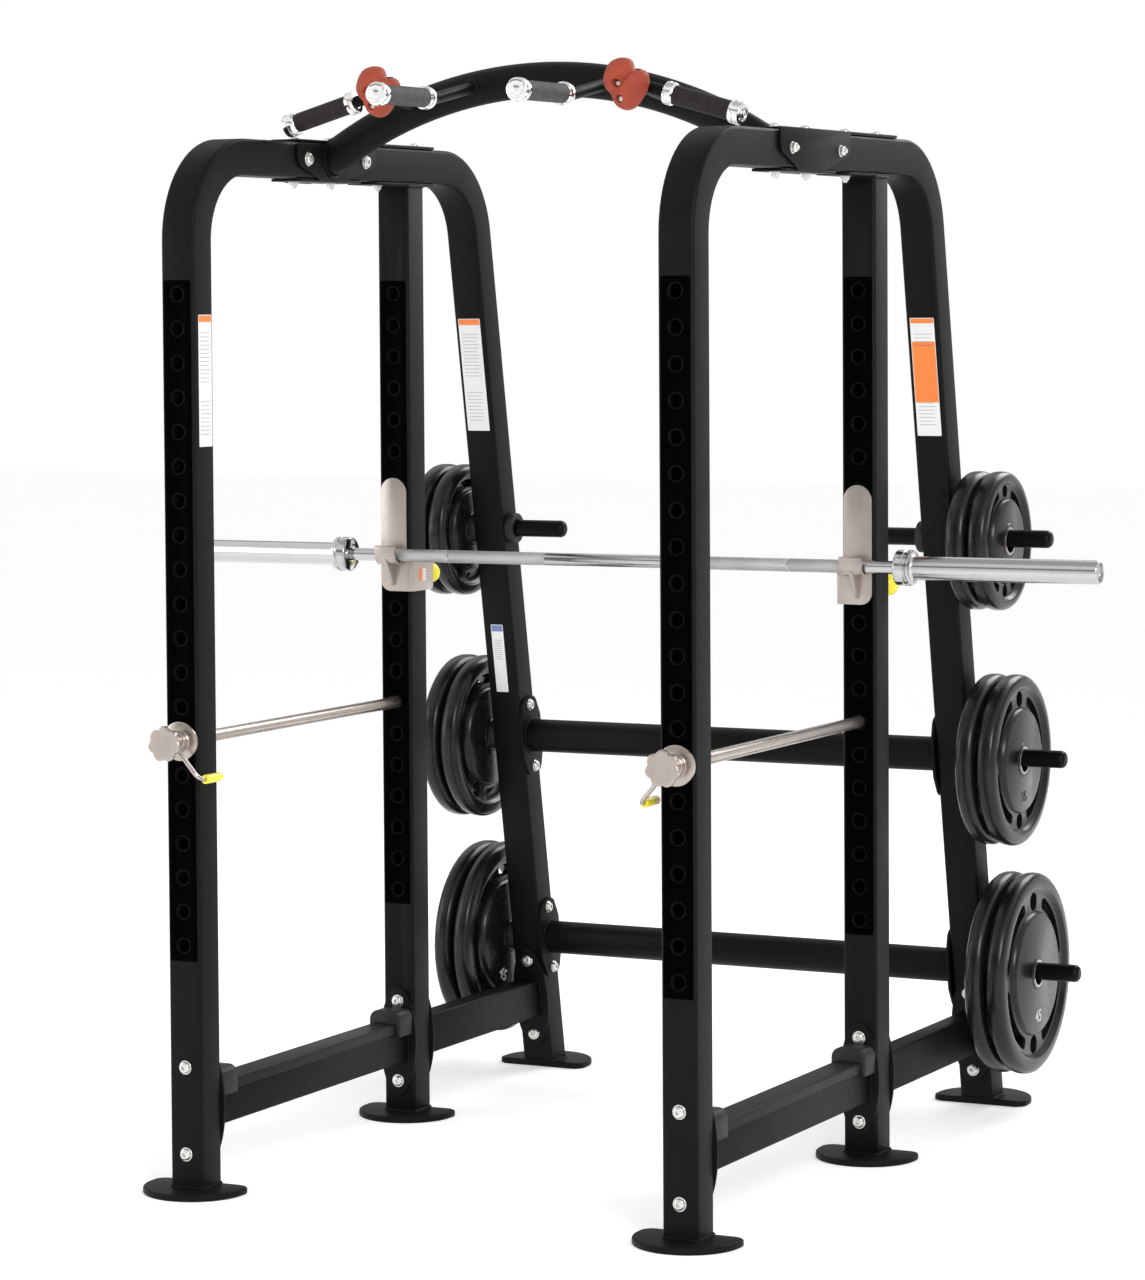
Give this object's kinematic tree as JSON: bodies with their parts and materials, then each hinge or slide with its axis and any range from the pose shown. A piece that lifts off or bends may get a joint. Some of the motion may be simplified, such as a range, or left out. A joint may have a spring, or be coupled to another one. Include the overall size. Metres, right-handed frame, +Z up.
{
  "type": "power rack",
  "caption": "Free-standing power rack with a barbell on hooks, pull-out safety rods, an arched pull-up bar with grips, and loaded plate storage pegs.",
  "frame": {"origin": "on the floor, under the middle of the outer box", "axes": "+Z up; the open front, where the safety rods pull out, faces -Y; X runs along the barbell"},
  "size_m": [2.2, 1.8536, 2.3168],
  "materials": {
    "frame_black": "satin powder coat",
    "strip_black": "smooth black guard strip",
    "rubber_grey": "matt moulded",
    "plate_black": "smooth, slightly glossy coating",
    "satin_nickel": "satin nickel plate",
    "bar_chrome": "bright, with knurled hand zones",
    "knob_yellow": "smooth",
    "hold_red": "fine grained"
  },
  "bodies": {
    "rack": {"side_frame_left": "frame_black", "mid_upright_left": "frame_black", "front_strip_left": "strip_black", "mid_strip_left": "strip_black", "front_beam_left": "frame_black", "rear_beam_left": "frame_black", "beam_pad_left": "rubber_grey", "arch_clamp_left": "frame_black", "climbing_hold_left": "hold_red", "neutral_grip_left": "rubber_grey", "wide_grip_left": "rubber_grey", "peg_inner_left": "frame_black", "peg_top_left": "frame_black", "peg_middle_left": "frame_black", "peg_bottom_left": "frame_black", "bar_hook_left": "satin_nickel", "side_frame_right": "frame_black", "mid_upright_right": "frame_black", "front_strip_right": "strip_black", "mid_strip_right": "strip_black", "front_beam_right": "frame_black", "rear_beam_right": "frame_black", "beam_pad_right": "rubber_grey", "arch_clamp_right": "frame_black", "climbing_hold_right": "hold_red", "neutral_grip_right": "rubber_grey", "wide_grip_right": "rubber_grey", "peg_inner_right": "frame_black", "peg_top_right": "frame_black", "peg_middle_right": "frame_black", "peg_bottom_right": "frame_black", "bar_hook_right": "satin_nickel", "crossmember_upper": "frame_black", "crossmember_lower": "frame_black", "pull_up_arch": "frame_black"},
    "barbell": {"barbell_shaft": "bar_chrome"},
    "sleeve_left": {"barbell_sleeve_left": "bar_chrome"},
    "hook_pin_left": {"hook_pin_left": "satin_nickel", "hook_knob_left": "knob_yellow"},
    "safety_rod_left": {"safety_rod_left": "satin_nickel"},
    "safety_lever_left": {"safety_lever_left": "satin_nickel", "lever_grip_left": "knob_yellow"},
    "plate_top_inner_left": {"plate_top_inner_left": "plate_black"},
    "plate_top_outer_left": {"plate_top_outer_left": "plate_black"},
    "plate_middle_inner_left": {"plate_middle_inner_left": "plate_black"},
    "plate_middle_outer_left": {"plate_middle_outer_left": "plate_black"},
    "plate_bottom_inner_left": {"plate_bottom_inner_left": "plate_black"},
    "plate_bottom_outer_left": {"plate_bottom_outer_left": "plate_black"},
    "sleeve_right": {"barbell_sleeve_right": "bar_chrome"},
    "hook_pin_right": {"hook_pin_right": "satin_nickel", "hook_knob_right": "knob_yellow"},
    "safety_rod_right": {"safety_rod_right": "satin_nickel"},
    "safety_lever_right": {"safety_lever_right": "satin_nickel", "lever_grip_right": "knob_yellow"},
    "plate_top_inner_right": {"plate_top_inner_right": "plate_black"},
    "plate_top_outer_right": {"plate_top_outer_right": "plate_black"},
    "plate_middle_inner_right": {"plate_middle_inner_right": "plate_black"},
    "plate_middle_outer_right": {"plate_middle_outer_right": "plate_black"},
    "plate_bottom_inner_right": {"plate_bottom_inner_right": "plate_black"},
    "plate_bottom_outer_right": {"plate_bottom_outer_right": "plate_black"}
  },
  "joints": [
    {"name": "barbell_lift", "type": "slide", "parent": "rack", "child": "barbell", "axis": [0, 0, 1], "range_m": [0, 0.3]},
    {"name": "sleeve_left_spin", "type": "hinge", "parent": "barbell", "child": "sleeve_left", "pos_m": [-0.9, 0.0198, 1.261], "axis": [1, 0, 0], "continuous": true},
    {"name": "hook_pin_left_pull", "type": "slide", "parent": "rack", "child": "hook_pin_left", "axis": [0, 1, 0], "range_m": [0, 0.018], "stiffness_N_per_m": 800, "springref_m": -0.005},
    {"name": "safety_rod_left_slide", "type": "slide", "parent": "rack", "child": "safety_rod_left", "axis": [0, -1, 0], "range_m": [0, 0.88]},
    {"name": "safety_lever_left_turn", "type": "hinge", "parent": "safety_rod_left", "child": "safety_lever_left", "pos_m": [-0.5575, -0.8913, 0.93195], "axis": [0, -1, 0], "range_deg": [0, 100]},
    {"name": "plate_top_inner_left_slide", "type": "slide", "parent": "rack", "child": "plate_top_inner_left", "axis": [-1, 0, 0], "range_m": [0, 0.045]},
    {"name": "plate_top_outer_left_slide", "type": "slide", "parent": "plate_top_inner_left", "child": "plate_top_outer_left", "axis": [-1, 0, 0], "range_m": [0, 0.085]},
    {"name": "plate_middle_inner_left_slide", "type": "slide", "parent": "rack", "child": "plate_middle_inner_left", "axis": [-1, 0, 0], "range_m": [0, 0.045]},
    {"name": "plate_middle_outer_left_slide", "type": "slide", "parent": "plate_middle_inner_left", "child": "plate_middle_outer_left", "axis": [-1, 0, 0], "range_m": [0, 0.085]},
    {"name": "plate_bottom_inner_left_slide", "type": "slide", "parent": "rack", "child": "plate_bottom_inner_left", "axis": [-1, 0, 0], "range_m": [0, 0.045]},
    {"name": "plate_bottom_outer_left_slide", "type": "slide", "parent": "plate_bottom_inner_left", "child": "plate_bottom_outer_left", "axis": [-1, 0, 0], "range_m": [0, 0.085]},
    {"name": "sleeve_right_spin", "type": "hinge", "parent": "barbell", "child": "sleeve_right", "pos_m": [0.9, 0.0198, 1.261], "axis": [1, 0, 0], "continuous": true},
    {"name": "hook_pin_right_pull", "type": "slide", "parent": "rack", "child": "hook_pin_right", "axis": [0, 1, 0], "range_m": [0, 0.018], "stiffness_N_per_m": 800, "springref_m": -0.005},
    {"name": "safety_rod_right_slide", "type": "slide", "parent": "rack", "child": "safety_rod_right", "axis": [0, -1, 0], "range_m": [0, 0.88]},
    {"name": "safety_lever_right_turn", "type": "hinge", "parent": "safety_rod_right", "child": "safety_lever_right", "pos_m": [0.5575, -0.8913, 0.93195], "axis": [0, 1, 0], "range_deg": [0, 100]},
    {"name": "plate_top_inner_right_slide", "type": "slide", "parent": "rack", "child": "plate_top_inner_right", "axis": [1, 0, 0], "range_m": [0, 0.045]},
    {"name": "plate_top_outer_right_slide", "type": "slide", "parent": "plate_top_inner_right", "child": "plate_top_outer_right", "axis": [1, 0, 0], "range_m": [0, 0.085]},
    {"name": "plate_middle_inner_right_slide", "type": "slide", "parent": "rack", "child": "plate_middle_inner_right", "axis": [1, 0, 0], "range_m": [0, 0.045]},
    {"name": "plate_middle_outer_right_slide", "type": "slide", "parent": "plate_middle_inner_right", "child": "plate_middle_outer_right", "axis": [1, 0, 0], "range_m": [0, 0.085]},
    {"name": "plate_bottom_inner_right_slide", "type": "slide", "parent": "rack", "child": "plate_bottom_inner_right", "axis": [1, 0, 0], "range_m": [0, 0.045]},
    {"name": "plate_bottom_outer_right_slide", "type": "slide", "parent": "plate_bottom_inner_right", "child": "plate_bottom_outer_right", "axis": [1, 0, 0], "range_m": [0, 0.085]}
  ]
}
